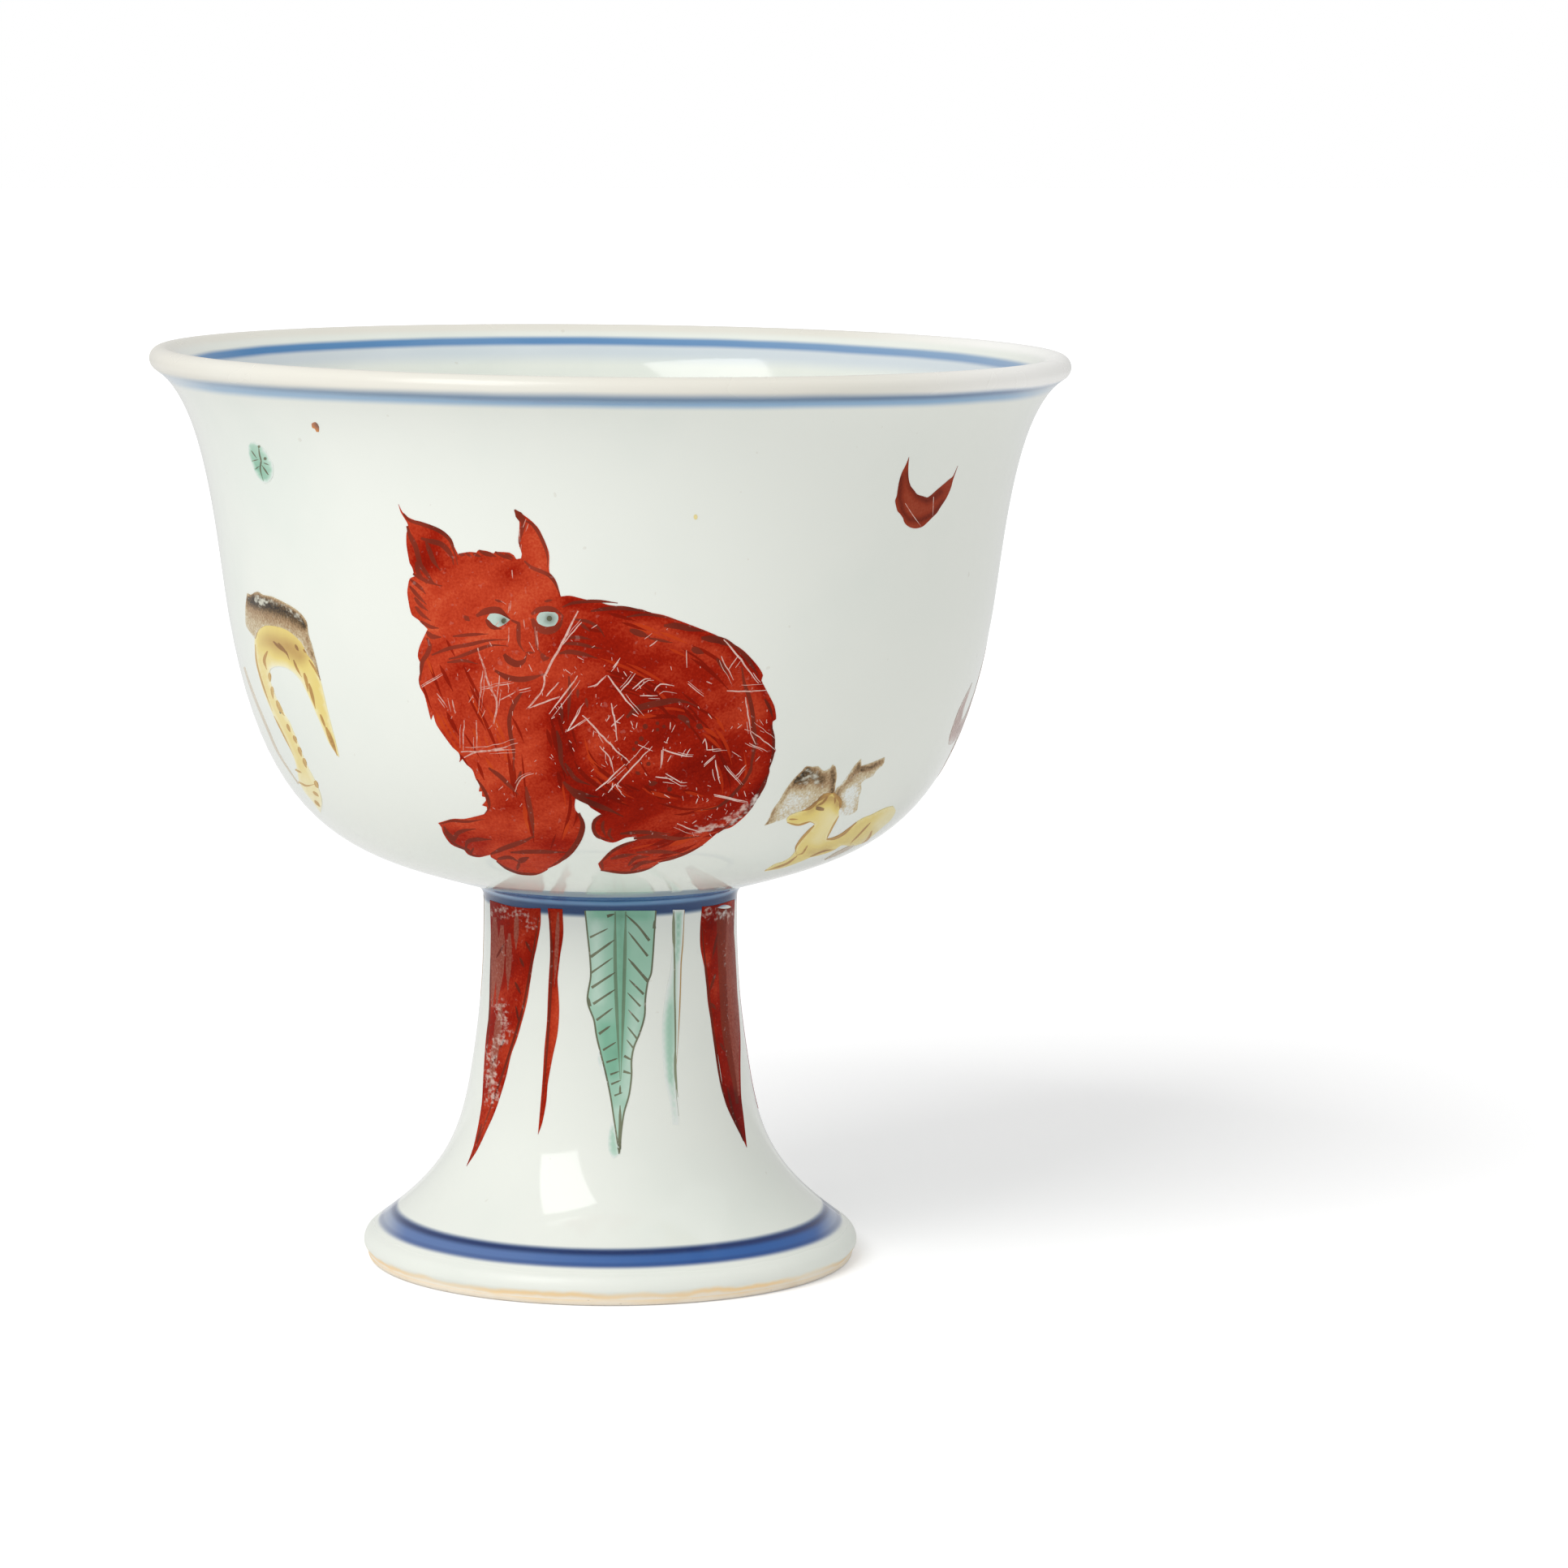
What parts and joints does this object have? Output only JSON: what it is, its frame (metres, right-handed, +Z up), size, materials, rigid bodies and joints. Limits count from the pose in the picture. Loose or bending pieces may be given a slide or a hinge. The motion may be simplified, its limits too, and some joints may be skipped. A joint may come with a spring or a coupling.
{
  "type": "stem cup",
  "caption": "Small porcelain stem cup: a deep bowl with an everted lip on a hollow stem that spreads to a bare foot ring, for wine or offerings.",
  "frame": {"origin": "centre of the foot ring's standing face", "axes": "+Z up along the axis of the cup, -Y towards the side with the painted animal, +X to the right of it"},
  "size_m": [0.078, 0.078, 0.0782],
  "materials": {
    "porcelain_body": "matte",
    "luting_slip": "matte",
    "clear_glaze": "polished",
    "iron_red_enamel": "satin",
    "green_enamel": "gloss",
    "yellow_enamel": "gloss",
    "brown_black_enamel": "satin"
  },
  "bodies": {
    "root": {"bowl": "porcelain_body", "stem": "porcelain_body", "luting_slip": "luting_slip", "glaze_coat": "clear_glaze", "stem_lining": "clear_glaze"}
  },
  "joints": []
}
